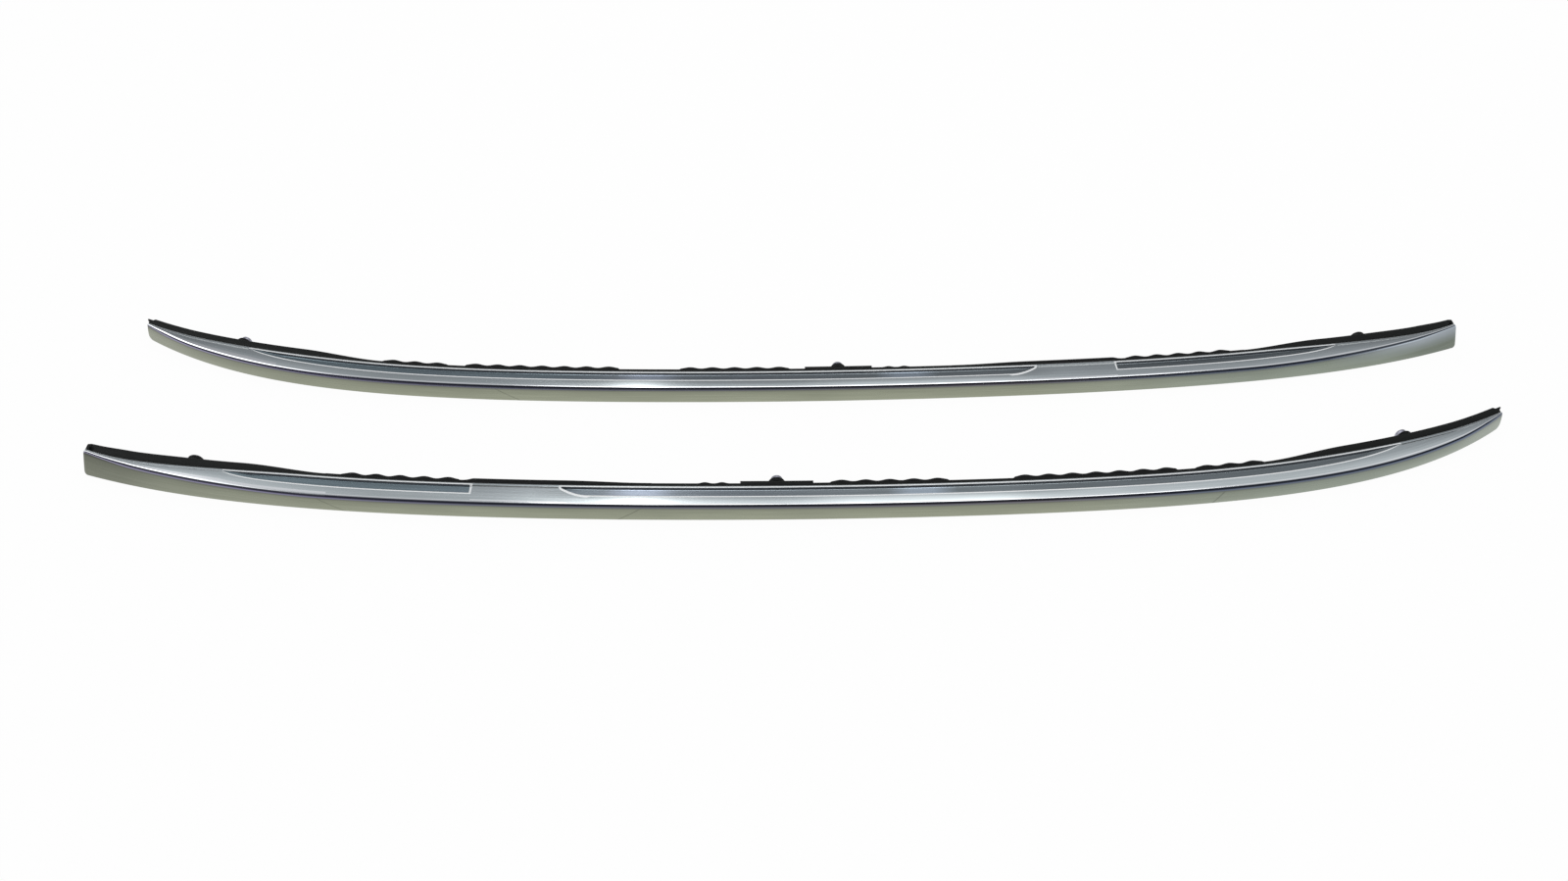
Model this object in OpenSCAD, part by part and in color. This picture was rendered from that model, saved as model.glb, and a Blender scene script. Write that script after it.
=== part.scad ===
// Pair of flush roof side rails, lying on their outboard sides with the grooved inboard sides up.
// One rail is described from its blunt rear end (x = 0) to its pointed front end (x = rail_len):
// y runs from the rail's top face back towards the roof, z is the height above the floor.

/* [Rail] */
// Length of one rail along a straight line, without the tab at its tip
rail_len = 1900; // [1600:10:2200]
// Width of the top face in the middle of the rail
face_mid = 26.5; // [24:0.5:32]
// Width of the top face at the blunt rear end
face_rear = 36; // [30:0.5:40]
// Width of the top face at the pointed front end
face_front = 27.5; // [24:0.5:30]
// Length of the stretch over which the face widens to the rear end
rear_flare_len = 320; // [200:5:400]
// Length of the stretch over which the face widens to the front end
front_flare_len = 330; // [200:5:400]
// How far the face leans back at the rear end
rear_lean = 8; // [4:0.5:9]
// Depth of the grooved side in the middle of the rail
side_mid = 36.5; // [34:0.5:44]
// Depth of the grooved side at the rear end
side_rear = 5; // [4:0.5:8]
// Depth of the grooved side at the very tip
side_tip = 4; // [3.5:0.5:6]
// Length of the stretch over which the side runs out at the rear
rear_runout = 320; // [260:5:360]
// Length of the stretch over which the side runs out at the front
front_runout = 330; // [260:5:400]
// Fall of the grooved side from the crease to its roof edge
side_draft = 1; // [0:0.1:1.5]
// How far the rear end leans forward over the width of the top face
rear_rake = 8.5; // [0:0.5:10]
// How far the tip leans back over the width of the top face
front_rake = 6; // [0:0.5:8]
// Length of the stretch at each end that leans with it
rake_len = 75; // [60:1:80]

/* [Bow] */
// Rise of the even arch from the middle to each end
bow_mid = 53; // [40:1:60]
// Extra sweep towards the roof at the front end
bow_front = 100; // [80:1:115]
// Extra sweep towards the roof at the rear end
bow_rear = 42; // [30:1:60]

/* [Edges] */
// Radius of the crease between the top face and the grooved side
crease_r = 4.5; // [2:0.5:5]
// Radius of the outboard edge of the top face
outer_r = 1.5; // [1:0.5:3]
// Radius of the outboard corner at the rear end
corner_r = 6.5; // [4:0.5:7]
// Radius of the inboard corner at the rear end
top_corner_r = 3; // [2:0.5:6]
// Radius of the end edge of the top face at the rear end
end_edge_r = 4; // [2:0.5:4]
// Radius of the outboard corner at the front tip
tip_r = 8; // [6:0.5:9]
// Height of the crown of the top face
face_crown = 0.5; // [0:0.1:0.8]

/* [Grooves] */
// Width of the clamp grooves
groove_w = 15; // [12:0.5:16]
// Depth of the clamp grooves
groove_depth = 3; // [2:0.25:3.5]
// Width of the lip between the grooves and the roof edge
groove_lip = 3.3; // [2.5:0.1:4]
// Width of the sloping wall on each side of a groove
groove_slope = 1.2; // [0.8:0.1:1.5]
// Distance from the rear end to the start of the short rear groove
rear_groove_start = 176; // [150:1:220]
// Distance from the rear end to the square end of the short rear groove
rear_groove_end = 517; // [480:1:540]
// Length over which the rear groove opens
rear_groove_open = 65; // [50:1:90]
// Distance from the rear end to the start of the long front groove
front_groove_start = 627; // [600:1:680]
// Distance from the tip to the tapered end of the long front groove
front_groove_gap = 178; // [160:1:250]
// Length of the curved spoon end of the front groove
spoon_len = 38; // [30:1:60]
// Length of the tapered end of the front groove
taper_len = 110; // [80:1:140]

/* [Channel] */
// Thickness of the wall behind the top face
face_wall = 3; // [2.5:0.1:4]
// Thickness of the side walls
side_wall = 2.2; // [1.8:0.1:2.4]
// Width of the channel's mouth between its two flanges
mouth_w = 12; // [11.5:0.1:12]
// Thickness of the flanges at the channel's mouth
flange_t = 2.5; // [2:0.1:3]
// Distance from the rear end to the start of the channel
channel_start = 90; // [80:1:105]
// Distance from the tip to the front end of the channel
channel_front = 90; // [70:1:110]

/* [Underlay] */
// Thickness of the underlay strip between the pads
strip_t = 6; // [4:0.1:7]
// Distance of the underlay from the outer faces of the rail
underlay_inset = 1.2; // [0.5:0.1:2]
// Thickness of the rear foot pad
rear_pad_t = 17; // [14:0.5:18]
// Thickness of the front foot pad
front_pad_t = 14; // [12:0.5:16]
// Thickness of the pad in the middle
mid_pad_t = 11; // [9:0.1:12]
// Length of the full part of the rear pad
rear_pad_len = 210; // [195:5:225]
// Length of the full part of the front pad
front_pad_len = 240; // [210:5:255]
// Length over which each foot pad thins down to the strip
pad_ramp = 115; // [90:5:130]
// Length of the pad in the middle
mid_pad_len = 94; // [70:2:110]
// How far the front pad steps down at its very end
tip_step = 4; // [2:0.5:6]
// Length of the tab that sticks out past the tip
tab_len = 4.5; // [3:0.5:8]
// Thickness of the tab
tab_t = 1.8; // [1.2:0.1:2.5]

/* [Seal lip] */
// Thickness of the wavy seal lip
lip_t = 2.5; // [1.5:0.1:3]
// Reach of the seal lip where it is smooth
lip_flat = 0.6; // [0.5:0.1:2]
// Extra reach of the seal lip at the top of a wave
lip_wave = 4; // [2:0.25:5]
// Extra reach of the smooth stretch of the lip behind the rear groove
lip_smooth = 3.2; // [1:0.1:4]
// Length of the smooth stretch of the lip
smooth_len = 240; // [180:5:280]
// Length over which the smooth stretch fades out
smooth_fade = 110; // [60:5:150]
// Length of one wave of the seal lip
wave_pitch = 31; // [26:1:36]
// Distance from the rear foot pad to the first wavy stretch
rear_wave_gap = 19; // [5:1:60]
// Distance from the first wavy stretch to the square end of the rear groove
groove_wave_gap = 17; // [0:1:60]
// Distance from the middle pad to the second wavy stretch
mid_wave_gap = 37; // [20:1:60]
// Length of the second wavy stretch
mid_wave_len = 135; // [93:1:160]
// Distance from the middle pad to the third wavy stretch
long_wave_gap = 259; // [235:1:300]
// Distance from the third wavy stretch to the front foot pad
long_wave_end = 140; // [130:1:200]
// Length of the last wavy stretch
front_wave_len = 94; // [93:1:105]
// Distance from the last wavy stretch to the front foot pad
front_wave_gap = 15; // [5:1:20]

/* [Mounts] */
// Distance from the rear end to the rear mount
rear_mount = 144; // [135:1:155]
// Distance from the rear end to the middle mount
mid_mount = 906; // [880:1:930]
// Distance from the tip to the front mount
front_mount = 143; // [135:1:160]
// Height of the mounts above the outboard side
mount_z = 12; // [11.9:0.1:12.4]
// Outer diameter of the rubber collars
collar_d = 22.8; // [20:0.2:23.4]
// Reach of the rear collar from the roof edge of the rail
rear_reach = 24; // [22:0.5:28]
// Reach of the middle collar from the roof edge of the rail
mid_reach = 19; // [17:0.5:24]
// Reach of the front collar from the roof edge of the rail
front_reach = 20; // [19:0.5:24]
// Diameter of the spigots
spigot_d = 16; // [14:0.2:17]
// Length of each spigot that shows past its collar
spigot_show = 6; // [4:0.5:8]
// Radius of the rounded end of the spigots
spigot_round = 2.5; // [1:0.5:4]
// Diameter of the studs in the anchor plates
stud_d = 10; // [8:0.5:10]
// Diameter of the threaded hole in each spigot
thread_d = 6.8; // [5:0.1:8.5]
// Depth of the threaded hole in each spigot
thread_depth = 10; // [8:0.5:14]
// Length of the anchor plates in the channel
anchor_len = 40; // [30:1:50]
// Thickness of the anchor plates
anchor_t = 7; // [5:0.5:8]

/* [Pair] */
// Distance between the two rails, top face to top face
pair_gap = 219.3; // [190:0.1:260]
// How far the left rail lies ahead towards +X
pair_stagger = 3.2; // [0:0.1:10]
// Angle between the two rails
pair_splay = 0.35; // [0:0.05:1]

/* [Hidden] */
// Running clearance between pieces that only touch
gap = 0.2;
// Clearance of the studs in the anchor plates
thread_gap = 0.05;
// Exponents of the sweeps and run-outs
sweep_pow = 5.5;
flare_pow = 1.5;
rear_pow = 0.8;
front_pow = 2.5;
// Length over which the channel's ends close, and depth of the dish that is left there
channel_close = 2;
dish = 0.3;
// Facets of a full circle
circle_fn = 48;
// Station spacings in millimetres: along the rail, in its curved ends and in the wavy lip
coarse = 50;
fine = 15;
wave_step = wave_pitch / 6;

mounts = [rear_mount, mid_mount, rail_len - front_mount];
reaches = [rear_reach, mid_reach, front_reach];
mid_pad_start = mid_mount - mid_pad_len / 2;
mid_pad_end = mid_mount + mid_pad_len / 2;
rear_pad_end = rear_pad_len + pad_ramp;
front_pad_start = rail_len - front_pad_len - pad_ramp;
front_groove_end = rail_len - front_groove_gap;
channel_end = rail_len - channel_front;
// Stretches of the lip that are wavy, of which those too short for a wave drop out
wave_runs = [
    for (run = [
        [rear_pad_end + rear_wave_gap, rear_groove_end - groove_wave_gap],
        [mid_pad_end + mid_wave_gap, mid_pad_end + mid_wave_gap + mid_wave_len],
        [mid_pad_end + long_wave_gap, front_pad_start - long_wave_end],
        [front_pad_start - front_wave_gap - front_wave_len, front_pad_start - front_wave_gap]
    ]) if (run[1] - run[0] >= wave_pitch) run
];
// Smooth stretch of the lip, from close behind the first wavy one
smooth_start = rear_groove_end - groove_wave_gap + 5;
smooth_end = smooth_start + smooth_len;
// The tab at the tip: where it leaves the pad, its width, and its far corner
tip_angle = roof_angle(rail_len);
tab_w = face_front - 2 * tip_r;
tab_z = face_front - side_draft - underlay_inset;
tab_x = rail_len - front_rake * tab_z / face_front;
tab_y = roof_y(rail_len) + front_pad_t - tip_step - tab_t - 2 * gap;
far_x = tab_x + tab_len * cos(tip_angle) - tab_t * sin(tip_angle);
far_y = tab_y + tab_len * sin(tip_angle) + tab_t * cos(tip_angle);
// Distance from the right rail's face to the middle of the pair's box, which ends at the right
// rail's crown and at the left rail's tab
pair_middle = (pair_gap - face_crown
    + far_y * cos(pair_splay) - (far_x - rail_len / 2) * sin(pair_splay)) / 2;

// Share from 1 at the very end down to 0 at a distance len from it
function fade(d, len, p) = pow(max(0, 1 - d / len), p);
// Share from 0 to 1 over a length
function rise(d, len) = min(1, max(0, d / len));
// Smooth step from 0 to 1
function ease(s) = s * s * (3 - 2 * s);
// Inset of a round end at a distance d from it
function round_in(d, r) = d >= r ? 0 : r - sqrt(r * r - (r - d) * (r - d));

// Depth of the top face's outboard edge behind the middle of the rail
function bow(x) = let(t = 2 * x / rail_len - 1)
    bow_mid * t * t + (t > 0 ? bow_front : bow_rear) * pow(abs(t), sweep_pow);
function face_w(x) = face_mid
    + (face_rear - face_mid) * fade(x, rear_flare_len, flare_pow)
    + (face_front - face_mid) * fade(rail_len - x, front_flare_len, flare_pow);
function lean(x) = rear_lean * fade(x, rear_flare_len, flare_pow);
function side_d(x) = side_rear
    + (side_mid - side_rear) * ease(pow(rise(x, rear_runout), rear_pow))
    + (side_tip - side_mid) * fade(rail_len - x, front_runout, front_pow);
// The rail's edge on the roof side
function roof_y(x) = bow(x) + lean(x) + side_d(x);
function roof_slope(x) = roof_y(x + 1) - roof_y(x - 1);
function roof_angle(x) = atan2(roof_slope(x), 2);
// Lowest edge of the top face
function low_z(x) = round_in(x, corner_r) + round_in(rail_len - x, tip_r);
function high_z(x) = face_w(x) - round_in(x, top_corner_r);
// Moves a ring's points so that the rear end leans forward and the tip leans back
function raked(ring) = [
    for (p = ring) p + [
        rear_rake * p[2] / face_rear * fade(p[0], rake_len, 1)
            - front_rake * p[2] / face_front * fade(rail_len - p[0], rake_len, 1), 0, 0]
];
function in_rake(x) = x < rake_len - 0.01 || x > rail_len - rake_len + 0.01;

// How far the groove is open across its width, 0 to 1
function groove_open(x) =
    x > rear_groove_start && x < rear_groove_end
        ? pow(rise(x - rear_groove_start, rear_groove_open), 0.8)
    : x > front_groove_start && x < front_groove_end
        ? min(1 - pow(1 - rise(x - front_groove_start, spoon_len), 1.9),
              pow(rise(front_groove_end - x, taper_len), 0.85))
    : 0;
// How deep the groove is, 0 to 1
function groove_sink(x) =
    x > rear_groove_start && x < rear_groove_end
        ? rise(x - rear_groove_start, rear_groove_open)
    : x > front_groove_start && x < front_groove_end
        ? min(rise(x - front_groove_start, spoon_len / 8),
              rise(front_groove_end - x, taper_len / 2))
    : 0;

// Stations from a to b, no further apart than step
function span(a, b, step) = let(n = max(1, ceil((b - a) / step)))
    [for (i = [0 : n - 1]) a + (b - a) * i / n];
// The rail's stations, with close ones where an end, a groove or a pad begins
rail_keys = [
    [0, 1.3], [corner_r, 14], [channel_start - channel_close, channel_close],
    [channel_start, 40], [rear_groove_start, fine],
    [rear_groove_start + rear_groove_open, 40], [rear_pad_end, coarse],
    [rear_groove_end - 0.5, 0.5], [rear_groove_end, coarse],
    [front_groove_start, 6.4], [front_groove_start + spoon_len, coarse],
    [mid_pad_start, coarse], [mid_pad_end, coarse],
    [front_pad_start, 25], [front_groove_end - taper_len, fine],
    [front_groove_end, 24], [channel_end, channel_close],
    [channel_end + channel_close, 12], [rail_len - tip_r, tip_r / 4],
    [rail_len, 1]
];
stations = [
    for (i = [0 : len(rail_keys) - 2])
        each span(rail_keys[i][0], rail_keys[i + 1][0], max(rail_keys[i][1], 0.5)),
    rail_len
];
function stations_in(a, b) = [a, for (x = stations) if (x > a + 0.01 && x < b - 0.01) x, b];
// Stations of a wavy run
function wave_stations(run) = [
    for (x = span(run[0], run[0] + wave_pitch * floor((run[1] - run[0]) / wave_pitch), wave_step)) x,
    run[0] + wave_pitch * floor((run[1] - run[0]) / wave_pitch)
];

// Middle of a ring's points
function middle(ring) = [for (p = ring) 1] * ring / len(ring);
// Solid through a row of rings that all have the same number of points, with caps that fan out
// from the middle of the first ring and of the last
module loft(rings) {
    n = len(rings[0]);
    m = len(rings);
    points = [for (ring = rings) each ring, middle(rings[0]), middle(rings[m - 1])];
    sides = [
        for (i = [0 : m - 2]) for (j = [0 : n - 1]) let(k = (j + 1) % n)
            each [[i * n + j, i * n + k, (i + 1) * n + k], [i * n + j, (i + 1) * n + k, (i + 1) * n + j]]
    ];
    near_cap = [for (j = [0 : n - 1]) [m * n, (j + 1) % n, j]];
    far_cap = [for (j = [0 : n - 1]) [m * n + 1, (m - 1) * n + j, (m - 1) * n + (j + 1) % n]];
    polyhedron(points, concat(near_cap, sides, far_cap));
}

// Outline of the rail at x: outboard side, top face, crease, land, groove and lip
function rail_ring(x) = let(
        b = bow(x), s = side_d(x), l = lean(x), e = round_in(x, end_edge_r),
        z0 = low_z(x), z1 = high_z(x), c = min(crease_r, 0.4 * s), f = max(l, e),
        o = min(outer_r, 0.4 * (l + s - e)),
        step = min(0.4, s / 14), lip_w = min(groove_lip, 0.3 * s),
        wide = groove_w * groove_open(x), slope = step + (groove_slope - step) * groove_sink(x),
        rim2 = s - lip_w, rim1 = rim2 - 3 * step - wide,
        sink = groove_depth * groove_sink(x))
    [
        [x, b + l + s, z0],
        [x, b + e + o, z0],
        [x, b + e + 0.29 * o, z0 + 0.29 * o],
        [x, b + e, z0 + o],
        [x, b + (e + f) / 2 - face_crown, (z0 + z1) / 2],
        for (a = [0 : 30 : 90]) [x, b + f + c * (1 - cos(a)), z1 - c + c * sin(a)],
        [x, b + l + rim1, z1 - side_draft * rim1 / s],
        [x, b + l + rim1 + slope, z1 - side_draft * rim1 / s - sink],
        [x, b + l + rim2 - slope, z1 - side_draft * rim2 / s - sink],
        [x, b + l + rim2, z1 - side_draft * rim2 / s],
        [x, b + l + s, z1 - side_draft]
    ];

// Outline of the channel at x, from its mouth on the grooved side: a T open towards the roof
function open_channel(x) = let(
        front = bow(x) + lean(x) + face_wall, roof = roof_y(x),
        z0 = side_wall, z1 = face_w(x) - side_draft - groove_depth - side_wall,
        m0 = mount_z - mouth_w / 2, m1 = mount_z + mouth_w / 2)
    [
        [x, roof, m1], [x, roof - flange_t, m1], [x, roof - flange_t, z1], [x, front, z1],
        [x, front, z0], [x, roof - flange_t, z0], [x, roof - flange_t, m0], [x, roof, m0]
    ];
// The same points where the rail is solid: a shallow dish across the roof edge
function closed_channel(x) = let(
        z0 = low_z(x), z1 = high_z(x), w = min(mouth_w, 0.5 * (z1 - z0)),
        low = min(dish, 0.1 * side_d(x)))
    [for (j = [0 : 7]) [x, roof_y(x) - (j == 0 || j == 7 ? 0 : low), (z0 + z1 + w) / 2 - w * j / 7]];

module rail() {
    color("silver") loft([
        for (x = stations) raked(concat(rail_ring(x),
            x > channel_start - 0.01 && x < channel_end + 0.01 ? open_channel(x) : closed_channel(x)))
    ]);
}

// Outline of a piece that lies on the rail's roof edge, with bevelled back edges. Where the ends
// lean, it keeps clear of the twisted edge.
function pad_ring(x, t, bevel = 1) = let(
        y0 = roof_y(x) + (in_rake(x) ? gap : 0), y1 = roof_y(x) + t,
        z0 = low_z(x) + underlay_inset, z1 = high_z(x) - side_draft - underlay_inset)
    raked([
        [x, y0, z0], [x, y0, z1], [x, y1 - bevel, z1],
        [x, y1, z1 - bevel], [x, y1, z0 + bevel], [x, y1 - bevel, z0]
    ]);
function rear_pad_at(x) = strip_t + (rear_pad_t - strip_t)
    * (1 - ease(rise(x - rear_pad_len, pad_ramp)));
function front_pad_at(x) = strip_t + (front_pad_t - strip_t)
    * ease(rise(x - front_pad_start, pad_ramp)) - tip_step * rise(x - rail_len + tip_r, tip_r / 2);

// Puts children at a mount, with their own +Y along the mount's axis away from the rail
module at_mount(i) {
    x = mounts[i];
    translate([x, roof_y(x), mount_z]) rotate([0, 0, roof_angle(x)]) children();
}
// Cylinder along +Y between two distances from the rail's roof edge
module rod(d, from, to) {
    translate([0, from, 0]) rotate([-90, 0, 0]) cylinder(d = d, h = to - from, $fn = circle_fn);
}
module mount_hole(i) {
    at_mount(i) rod(spigot_d + 2 * gap, -5, rear_pad_t + 10);
}

module rear_pad() {
    color([0.08, 0.08, 0.08]) difference() {
        loft([for (x = stations_in(0, rear_pad_end)) pad_ring(x, rear_pad_at(x))]);
        mount_hole(0);
    }
}
module front_pad() {
    color([0.08, 0.08, 0.08]) {
        difference() {
            loft([for (x = stations_in(front_pad_start, rail_len)) pad_ring(x, front_pad_at(x))]);
            mount_hole(2);
        }
        translate([tab_x, tab_y, tab_z - tab_w]) rotate([0, 0, tip_angle])
            translate([-tab_len, 0, 0]) cube([2 * tab_len, tab_t, tab_w]);
    }
}
module underlay() {
    color([0.08, 0.08, 0.08]) difference() {
        loft([for (x = stations_in(rear_pad_end, front_pad_start)) pad_ring(x, strip_t, 0.8)]);
        mount_hole(1);
    }
}
module middle_pad() {
    color([0.1, 0.1, 0.1]) difference() {
        loft([for (x = stations_in(mid_pad_start, mid_pad_end)) let(
                y0 = roof_y(x), z0 = underlay_inset + 1, z1 = face_w(x) - side_draft - underlay_inset - 1)
            [
                [x, y0 + strip_t, z0], [x, y0 + strip_t, z1],
                [x, y0 + mid_pad_t, z1], [x, y0 + mid_pad_t, z0]
            ]]);
        mount_hole(1);
    }
}

// Reach of the lip beyond the strip along a wave
function wave(x, start) = lip_flat + lip_wave * pow(sin(180 * (x - start) / wave_pitch), 2);
function lip_ring(x, reach) = let(
        y0 = roof_y(x) + strip_t + 1.5 * gap, z1 = face_w(x) - side_draft - underlay_inset - 0.8)
    [[x, y0, z1 - lip_t], [x, y0, z1], [x, y0 + reach, z1], [x, y0 + reach, z1 - lip_t]];
// Reach of the smooth stretch
function smooth_at(x) = lip_flat + lip_smooth
    * ease(rise(x - smooth_start, 12)) * ease(rise(smooth_end - x, smooth_fade));
module seal_lip() {
    color([0.12, 0.12, 0.12]) {
        for (run = wave_runs)
            loft([for (x = wave_stations(run)) lip_ring(x, wave(x, run[0]))]);
        loft([for (x = concat(span(smooth_start, smooth_start + 12, 4),
                span(smooth_start + 12, smooth_end - smooth_fade, 40),
                span(smooth_end - smooth_fade, smooth_end, 22), [smooth_end])) lip_ring(x, smooth_at(x))]);
    }
}

module anchor(i) {
    x = mounts[i];
    narrow = min(face_w(x - anchor_len / 2), face_w(x + anchor_len / 2));
    high = narrow - side_draft - groove_depth - 2 * side_wall - 4 * gap;
    color([0.62, 0.64, 0.66]) at_mount(i) difference() {
        translate([-anchor_len / 2, -flange_t - 1.5 * gap - anchor_t, side_wall + 2 * gap - mount_z])
            cube([anchor_len, anchor_t, high]);
        rod(stud_d + 2 * thread_gap, -flange_t - anchor_t - 5, 0);
    }
}
function pad_under(i) = i == 0 ? rear_pad_at(mounts[0]) : i == 1 ? mid_pad_t : front_pad_at(mounts[2]);
module collar(i) {
    color([0.07, 0.07, 0.07]) at_mount(i) difference() {
        rod(collar_d, pad_under(i) + gap, reaches[i]);
        rod(spigot_d + 2 * gap, 0, reaches[i] + 5);
    }
}
module spigot(i) {
    reach = reaches[i] + spigot_show;
    r = spigot_d / 2;
    color([0.6, 0.6, 0.66]) at_mount(i) {
        rotate([-90, 0, 0]) rotate_extrude($fn = circle_fn) polygon([
            [0, -flange_t - anchor_t], [stud_d / 2, -flange_t - anchor_t], [stud_d / 2, gap / 2], [r, gap / 2],
            for (a = [0 : 22.5 : 90]) [r - spigot_round + spigot_round * cos(a),
                reach - spigot_round + spigot_round * sin(a)],
            [thread_d / 2, reach], [thread_d / 2, reach - thread_depth], [0, reach - thread_depth]
        ]);
    }
}

// The right rail points towards +X, and the left rail is its mirror image behind it
module right() {
    translate([-rail_len / 2 - pair_stagger / 2, -pair_middle, 0]) children();
}
module left() {
    translate([pair_stagger / 2, -pair_middle + pair_gap, 0]) rotate([0, 0, pair_splay])
        mirror([1, 0, 0]) translate([-rail_len / 2, 0, 0]) children();
}

right() rail();  // right_rail
right() underlay();  // right_underlay
right() seal_lip();  // right_seal_lip
right() rear_pad();  // right_rear_pad
right() middle_pad();  // right_middle_pad
right() front_pad();  // right_front_pad
right() anchor(0);  // right_rear_anchor
right() anchor(1);  // right_middle_anchor
right() anchor(2);  // right_front_anchor
right() collar(0);  // right_rear_collar
right() collar(1);  // right_middle_collar
right() collar(2);  // right_front_collar
right() spigot(0);  // right_rear_spigot
right() spigot(1);  // right_middle_spigot
right() spigot(2);  // right_front_spigot
left() rail();  // left_rail
left() underlay();  // left_underlay
left() seal_lip();  // left_seal_lip
left() rear_pad();  // left_rear_pad
left() middle_pad();  // left_middle_pad
left() front_pad();  // left_front_pad
left() anchor(0);  // left_rear_anchor
left() anchor(1);  // left_middle_anchor
left() anchor(2);  // left_front_anchor
left() collar(0);  // left_rear_collar
left() collar(1);  // left_middle_collar
left() collar(2);  // left_front_collar
left() spigot(0);  // left_rear_spigot
left() spigot(1);  // left_middle_spigot
left() spigot(2);  // left_front_spigot
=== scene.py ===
import math
import bpy
import numpy as np
from mathutils import Matrix, Vector


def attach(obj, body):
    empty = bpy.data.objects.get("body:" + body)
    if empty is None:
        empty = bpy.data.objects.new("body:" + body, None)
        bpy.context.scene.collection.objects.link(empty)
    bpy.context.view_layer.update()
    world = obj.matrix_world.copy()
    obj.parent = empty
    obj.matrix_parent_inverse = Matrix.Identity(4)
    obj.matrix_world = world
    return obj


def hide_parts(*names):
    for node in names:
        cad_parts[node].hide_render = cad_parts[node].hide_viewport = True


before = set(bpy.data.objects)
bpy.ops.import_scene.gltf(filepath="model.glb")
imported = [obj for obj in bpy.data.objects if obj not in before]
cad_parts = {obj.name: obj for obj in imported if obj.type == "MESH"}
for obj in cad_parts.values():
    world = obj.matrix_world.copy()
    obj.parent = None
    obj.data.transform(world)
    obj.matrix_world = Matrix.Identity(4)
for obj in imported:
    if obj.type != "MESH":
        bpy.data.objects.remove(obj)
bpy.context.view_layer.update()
bpy.context.scene.view_settings.view_transform = "Standard"
MM = 0.001

# sizes, in millimetres: as in the part, but for the start of the rear groove, the end of the front groove
# and the grooves' tapers, which follow the photograph more closely here
RAIL_LEN = 1900.0
FACE_MID, FACE_REAR, FACE_FRONT = 26.5, 36.0, 27.5
REAR_FLARE, FRONT_FLARE, REAR_LEAN = 320.0, 330.0, 8.0
SIDE_MID, SIDE_REAR, SIDE_TIP = 36.5, 5.0, 4.0
REAR_RUNOUT, FRONT_RUNOUT, SIDE_DRAFT = 320.0, 330.0, 1.0
REAR_RAKE, FRONT_RAKE, RAKE_LEN = 8.5, 6.0, 75.0
BOW_MID, BOW_FRONT, BOW_REAR, SWEEP = 53.0, 100.0, 42.0, 5.5
CREASE_R, OUTER_R, CORNER_R, TOP_R, END_R, TIP_R, CROWN = 4.5, 1.5, 6.5, 3.0, 4.0, 8.0, 0.5
GROOVE_W, GROOVE_D, GROOVE_LIP, GROOVE_SLOPE = 15.0, 3.0, 3.3, 1.2
REAR_GROOVE, REAR_OPEN = (190.0, 517.0), 38.0
FRONT_GROOVE, SPOON, TAPER = (627.0, 1737.0), 38.0, 48.0
STRIP_T, INSET, GAP = 6.0, 1.2, 0.2
REAR_PAD_T, FRONT_PAD_T, MID_PAD_T = 17.0, 14.0, 11.0
REAR_PAD, FRONT_PAD, RAMP = 210.0, 240.0, 115.0
MID_PAD = (859.0, 953.0)
TIP_STEP, TAB_LEN, TAB_T = 4.0, 4.5, 1.8
LIP_T, LIP_FLAT, LIP_SMOOTH, PITCH = 2.5, 0.6, 3.2, 31.0
SMOOTH, SMOOTH_FADE = (505.0, 745.0), 110.0
MOUNTS = (("rear", 144.0, 24.0), ("middle", 906.0, 19.0), ("front", 1757.0, 20.0))
MOUNT_Z, COLLAR_D, SPIGOT_D, SPIGOT_SHOW, THREAD_D, THREAD_DEEP = 12.0, 22.8, 16.0, 6.0, 6.8, 10.0
PAIR_GAP, STAGGER, SPLAY = 219.3, 3.2, math.radians(0.35)

# sizes that only the scene has, in millimetres
SPOON_CURVE = 1.9  # power of the spoon end's outline
RIM_W, SPOON_RIM_W = 1.5, 3.4  # width of the painted highlight along a groove's rim
SPOON_WALL, SQUARE_WALL = 3.5, 4.0  # length of the grooves' end walls that carry the rim's painted highlight
RIM_R, FLOOR_R = 0.45, 0.35  # rounding of a groove's rim and of its floor's edge
EDGE_R, LAND_CROWN = 0.8, 0.3
CREASE_END = 5.0  # angle at which the crease runs out into the land, in degrees
GLINT_REAR, GLINT_TIP = 330.0, 1690.0  # where the crease's painted glint ends and starts along a rail
REAR_THIN, REAR_THIN_LEN, NOSE_THIN, NOSE_LEN = 3.0, 60.0, 2.5, 9.0  # how much less the rear pad has
RAMP_THIN, RAMP_THIN_X, RAMP_THIN_LEN = 2.5, 110.0, 110.0
REAR_COLLAR_MORE = 3.5  # how much further the rear collars stand out
COLLAR_ROUND, SPIGOT_ROUND, THREAD_PITCH, THREAD_RIDGE = 3.2, 2.5, 1.2, 0.35


# the rail's own curves
def fade(d, length, p):
    return np.maximum(0.0, 1.0 - d / length) ** p


def rise(d, length):
    return np.clip(d / length, 0.0, 1.0)


def ease(s):
    return s * s * (3.0 - 2.0 * s)


def round_in(d, r):
    d = np.clip(d, 0.0, r)
    return r - np.sqrt(np.maximum(0.0, r * r - (r - d) ** 2))


def bow(x):
    t = 2.0 * x / RAIL_LEN - 1.0
    return BOW_MID * t * t + np.where(t > 0, BOW_FRONT, BOW_REAR) * np.abs(t) ** SWEEP


def face_w(x):
    return (FACE_MID + (FACE_REAR - FACE_MID) * fade(x, REAR_FLARE, 1.5)
            + (FACE_FRONT - FACE_MID) * fade(RAIL_LEN - x, FRONT_FLARE, 1.5))


def lean(x):
    return REAR_LEAN * fade(x, REAR_FLARE, 1.5)


def side_d(x):
    return (SIDE_REAR + (SIDE_MID - SIDE_REAR) * ease(rise(x, REAR_RUNOUT) ** 0.8)
            + (SIDE_TIP - SIDE_MID) * fade(RAIL_LEN - x, FRONT_RUNOUT, 2.5))


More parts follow.
